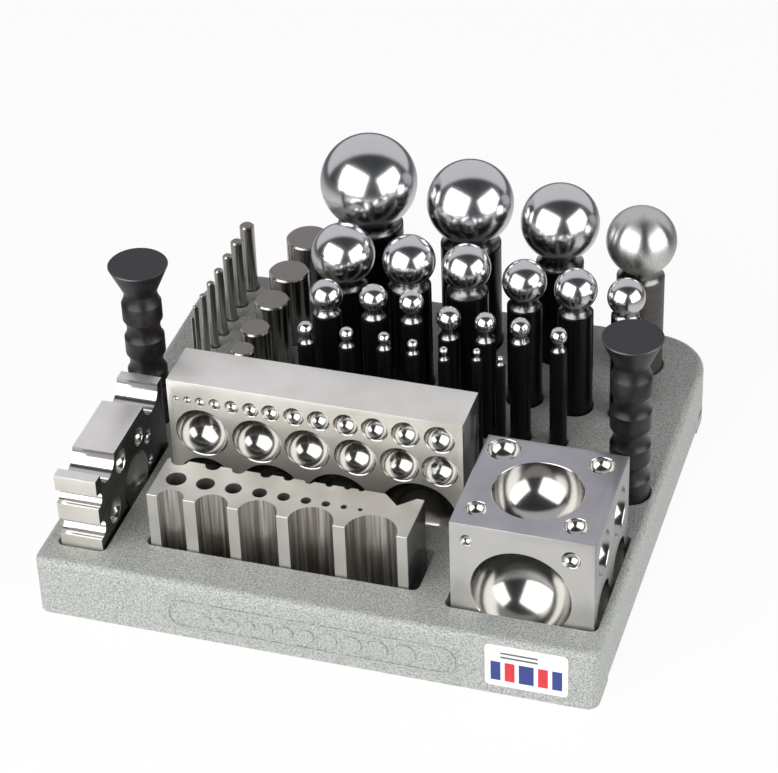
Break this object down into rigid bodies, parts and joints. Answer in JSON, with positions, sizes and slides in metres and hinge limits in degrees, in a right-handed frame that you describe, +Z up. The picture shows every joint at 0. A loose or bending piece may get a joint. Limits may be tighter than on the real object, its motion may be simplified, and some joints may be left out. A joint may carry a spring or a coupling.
{
  "type": "dapping block and punch set",
  "caption": "Cast bench base holding a dapping block, a dapping cube, a swage block, a grooved block, ball-ended punches and forming rods, each standing loose in its own socket.",
  "frame": {"origin": "middle of the base's footprint, on the surface that its rim stands on", "axes": "+Z up, +X to the right along the front edge, +Y from the front edge to the back"},
  "size_m": [0.285, 0.2657, 0.15],
  "materials": {
    "cast_enamel": "pale grey hammertone enamel on the casting",
    "block_steel": "ground steel with polished cavities",
    "punch_steel": "black shank with a polished ball",
    "turned_steel": "bright turned steel",
    "black_oxide": "black oxide, satin",
    "label_film": "printed white film with plain stripes"
  },
  "bodies": {
    "base": {"base_cube_seat": "cast_enamel", "base_dapping_seat": "cast_enamel", "base_floor": "cast_enamel", "base_front_wall": "cast_enamel", "base_grooved_seat": "cast_enamel", "base_socket_plate": "cast_enamel", "base_swage_seat": "cast_enamel", "base_underframe": "cast_enamel", "front_label": "label_film"},
    "ball_punch_10_5mm_body": {"ball_punch_10_5mm": "punch_steel"},
    "ball_punch_11mm_body": {"ball_punch_11mm": "punch_steel"},
    "ball_punch_12_5mm_body": {"ball_punch_12_5mm": "punch_steel"},
    "ball_punch_13mm_body": {"ball_punch_13mm": "punch_steel"},
    "ball_punch_14_5mm_body": {"ball_punch_14_5mm": "punch_steel"},
    "ball_punch_17mm_body": {"ball_punch_17mm": "punch_steel"},
    "ball_punch_19_5mm_body": {"ball_punch_19_5mm": "punch_steel"},
    "ball_punch_22mm_body": {"ball_punch_22mm": "punch_steel"},
    "ball_punch_23mm_body": {"ball_punch_23mm": "punch_steel"},
    "ball_punch_25mm_body": {"ball_punch_25mm": "punch_steel"},
    "ball_punch_27_5mm_body": {"ball_punch_27_5mm": "punch_steel"},
    "ball_punch_33mm_body": {"ball_punch_33mm": "punch_steel"},
    "ball_punch_36_5mm_body": {"ball_punch_36_5mm": "punch_steel"},
    "ball_punch_3_9mm_body": {"ball_punch_3_9mm": "punch_steel"},
    "ball_punch_3mm_body": {"ball_punch_3mm": "punch_steel"},
    "ball_punch_41mm_body": {"ball_punch_41mm": "punch_steel"},
    "ball_punch_45_5mm_body": {"ball_punch_45_5mm": "punch_steel"},
    "ball_punch_4_4mm_body": {"ball_punch_4_4mm": "punch_steel"},
    "ball_punch_51mm_body": {"ball_punch_51mm": "punch_steel"},
    "ball_punch_5_5mm_body": {"ball_punch_5_5mm": "punch_steel"},
    "ball_punch_6_2mm_body": {"ball_punch_6_2mm": "punch_steel"},
    "ball_punch_7_3mm_body": {"ball_punch_7_3mm": "punch_steel"},
    "ball_punch_8mm_body": {"ball_punch_8mm": "punch_steel"},
    "ball_punch_9mm_body": {"ball_punch_9mm": "punch_steel"},
    "dapping_block_body": {"dapping_block": "block_steel"},
    "dapping_cube_body": {"dapping_cube": "block_steel"},
    "flared_tool_left_body": {"flared_tool_left": "black_oxide"},
    "flared_tool_right_body": {"flared_tool_right": "black_oxide"},
    "forming_cylinder_12_8mm_body": {"forming_cylinder_12_8mm": "turned_steel"},
    "forming_cylinder_16mm_body": {"forming_cylinder_16mm": "turned_steel"},
    "forming_cylinder_18_6mm_body": {"forming_cylinder_18_6mm": "turned_steel"},
    "forming_cylinder_21_5mm_body": {"forming_cylinder_21_5mm": "turned_steel"},
    "forming_cylinder_24_5mm_body": {"forming_cylinder_24_5mm": "turned_steel"},
    "forming_rod_1_8mm_body": {"forming_rod_1_8mm": "turned_steel"},
    "forming_rod_2_8mm_body": {"forming_rod_2_8mm": "turned_steel"},
    "forming_rod_3_5mm_body": {"forming_rod_3_5mm": "turned_steel"},
    "forming_rod_4_3mm_body": {"forming_rod_4_3mm": "turned_steel"},
    "forming_rod_5_6mm_body": {"forming_rod_5_6mm": "turned_steel"},
    "forming_rod_5mm_body": {"forming_rod_5mm": "turned_steel"},
    "forming_rod_6_8mm_body": {"forming_rod_6_8mm": "turned_steel"},
    "forming_rod_8mm_body": {"forming_rod_8mm": "turned_steel"},
    "grooved_block_body": {"grooved_block": "block_steel"},
    "swage_block_body": {"swage_block": "block_steel"}
  },
  "joints": [
    {"name": "ball_punch_10_5mm_lift", "type": "slide", "parent": "base", "child": "ball_punch_10_5mm_body", "axis": [0, 0, 1], "range_m": [0, 0.022]},
    {"name": "ball_punch_11mm_lift", "type": "slide", "parent": "base", "child": "ball_punch_11mm_body", "axis": [0, 0, 1], "range_m": [0, 0.022]},
    {"name": "ball_punch_12_5mm_lift", "type": "slide", "parent": "base", "child": "ball_punch_12_5mm_body", "axis": [0, 0, 1], "range_m": [0, 0.022]},
    {"name": "ball_punch_13mm_lift", "type": "slide", "parent": "base", "child": "ball_punch_13mm_body", "axis": [0, 0, 1], "range_m": [0, 0.022]},
    {"name": "ball_punch_14_5mm_lift", "type": "slide", "parent": "base", "child": "ball_punch_14_5mm_body", "axis": [0, 0, 1], "range_m": [0, 0.022]},
    {"name": "ball_punch_17mm_lift", "type": "slide", "parent": "base", "child": "ball_punch_17mm_body", "axis": [0, 0, 1], "range_m": [0, 0.022]},
    {"name": "ball_punch_19_5mm_lift", "type": "slide", "parent": "base", "child": "ball_punch_19_5mm_body", "axis": [0, 0, 1], "range_m": [0, 0.022]},
    {"name": "ball_punch_22mm_lift", "type": "slide", "parent": "base", "child": "ball_punch_22mm_body", "axis": [0, 0, 1], "range_m": [0, 0.022]},
    {"name": "ball_punch_23mm_lift", "type": "slide", "parent": "base", "child": "ball_punch_23mm_body", "axis": [0, 0, 1], "range_m": [0, 0.022]},
    {"name": "ball_punch_25mm_lift", "type": "slide", "parent": "base", "child": "ball_punch_25mm_body", "axis": [0, 0, 1], "range_m": [0, 0.022]},
    {"name": "ball_punch_27_5mm_lift", "type": "slide", "parent": "base", "child": "ball_punch_27_5mm_body", "axis": [0, 0, 1], "range_m": [0, 0.022]},
    {"name": "ball_punch_33mm_lift", "type": "slide", "parent": "base", "child": "ball_punch_33mm_body", "axis": [0, 0, 1], "range_m": [0, 0.022]},
    {"name": "ball_punch_36_5mm_lift", "type": "slide", "parent": "base", "child": "ball_punch_36_5mm_body", "axis": [0, 0, 1], "range_m": [0, 0.022]},
    {"name": "ball_punch_3_9mm_lift", "type": "slide", "parent": "base", "child": "ball_punch_3_9mm_body", "axis": [0, 0, 1], "range_m": [0, 0.022]},
    {"name": "ball_punch_3mm_lift", "type": "slide", "parent": "base", "child": "ball_punch_3mm_body", "axis": [0, 0, 1], "range_m": [0, 0.022]},
    {"name": "ball_punch_41mm_lift", "type": "slide", "parent": "base", "child": "ball_punch_41mm_body", "axis": [0, 0, 1], "range_m": [0, 0.022]},
    {"name": "ball_punch_45_5mm_lift", "type": "slide", "parent": "base", "child": "ball_punch_45_5mm_body", "axis": [0, 0, 1], "range_m": [0, 0.022]},
    {"name": "ball_punch_4_4mm_lift", "type": "slide", "parent": "base", "child": "ball_punch_4_4mm_body", "axis": [0, 0, 1], "range_m": [0, 0.022]},
    {"name": "ball_punch_51mm_lift", "type": "slide", "parent": "base", "child": "ball_punch_51mm_body", "axis": [0, 0, 1], "range_m": [0, 0.022]},
    {"name": "ball_punch_5_5mm_lift", "type": "slide", "parent": "base", "child": "ball_punch_5_5mm_body", "axis": [0, 0, 1], "range_m": [0, 0.022]},
    {"name": "ball_punch_6_2mm_lift", "type": "slide", "parent": "base", "child": "ball_punch_6_2mm_body", "axis": [0, 0, 1], "range_m": [0, 0.022]},
    {"name": "ball_punch_7_3mm_lift", "type": "slide", "parent": "base", "child": "ball_punch_7_3mm_body", "axis": [0, 0, 1], "range_m": [0, 0.022]},
    {"name": "ball_punch_8mm_lift", "type": "slide", "parent": "base", "child": "ball_punch_8mm_body", "axis": [0, 0, 1], "range_m": [0, 0.022]},
    {"name": "ball_punch_9mm_lift", "type": "slide", "parent": "base", "child": "ball_punch_9mm_body", "axis": [0, 0, 1], "range_m": [0, 0.022]},
    {"name": "dapping_block_lift", "type": "slide", "parent": "base", "child": "dapping_block_body", "axis": [0, 0, 1], "range_m": [0, 0.022]},
    {"name": "dapping_cube_lift", "type": "slide", "parent": "base", "child": "dapping_cube_body", "axis": [0, 0, 1], "range_m": [0, 0.022]},
    {"name": "flared_tool_left_lift", "type": "slide", "parent": "base", "child": "flared_tool_left_body", "axis": [0, 0, 1], "range_m": [0, 0.022]},
    {"name": "flared_tool_right_lift", "type": "slide", "parent": "base", "child": "flared_tool_right_body", "axis": [0, 0, 1], "range_m": [0, 0.022]},
    {"name": "forming_cylinder_12_8mm_lift", "type": "slide", "parent": "base", "child": "forming_cylinder_12_8mm_body", "axis": [0, 0, 1], "range_m": [0, 0.022]},
    {"name": "forming_cylinder_16mm_lift", "type": "slide", "parent": "base", "child": "forming_cylinder_16mm_body", "axis": [0, 0, 1], "range_m": [0, 0.022]},
    {"name": "forming_cylinder_18_6mm_lift", "type": "slide", "parent": "base", "child": "forming_cylinder_18_6mm_body", "axis": [0, 0, 1], "range_m": [0, 0.022]},
    {"name": "forming_cylinder_21_5mm_lift", "type": "slide", "parent": "base", "child": "forming_cylinder_21_5mm_body", "axis": [0, 0, 1], "range_m": [0, 0.022]},
    {"name": "forming_cylinder_24_5mm_lift", "type": "slide", "parent": "base", "child": "forming_cylinder_24_5mm_body", "axis": [0, 0, 1], "range_m": [0, 0.022]},
    {"name": "forming_rod_1_8mm_lift", "type": "slide", "parent": "base", "child": "forming_rod_1_8mm_body", "axis": [0, 0, 1], "range_m": [0, 0.022]},
    {"name": "forming_rod_2_8mm_lift", "type": "slide", "parent": "base", "child": "forming_rod_2_8mm_body", "axis": [0, 0, 1], "range_m": [0, 0.022]},
    {"name": "forming_rod_3_5mm_lift", "type": "slide", "parent": "base", "child": "forming_rod_3_5mm_body", "axis": [0, 0, 1], "range_m": [0, 0.022]},
    {"name": "forming_rod_4_3mm_lift", "type": "slide", "parent": "base", "child": "forming_rod_4_3mm_body", "axis": [0, 0, 1], "range_m": [0, 0.022]},
    {"name": "forming_rod_5_6mm_lift", "type": "slide", "parent": "base", "child": "forming_rod_5_6mm_body", "axis": [0, 0, 1], "range_m": [0, 0.022]},
    {"name": "forming_rod_5mm_lift", "type": "slide", "parent": "base", "child": "forming_rod_5mm_body", "axis": [0, 0, 1], "range_m": [0, 0.022]},
    {"name": "forming_rod_6_8mm_lift", "type": "slide", "parent": "base", "child": "forming_rod_6_8mm_body", "axis": [0, 0, 1], "range_m": [0, 0.022]},
    {"name": "forming_rod_8mm_lift", "type": "slide", "parent": "base", "child": "forming_rod_8mm_body", "axis": [0, 0, 1], "range_m": [0, 0.022]},
    {"name": "grooved_block_lift", "type": "slide", "parent": "base", "child": "grooved_block_body", "axis": [0, 0, 1], "range_m": [0, 0.022]},
    {"name": "swage_block_lift", "type": "slide", "parent": "base", "child": "swage_block_body", "axis": [0, 0, 1], "range_m": [0, 0.022]}
  ]
}
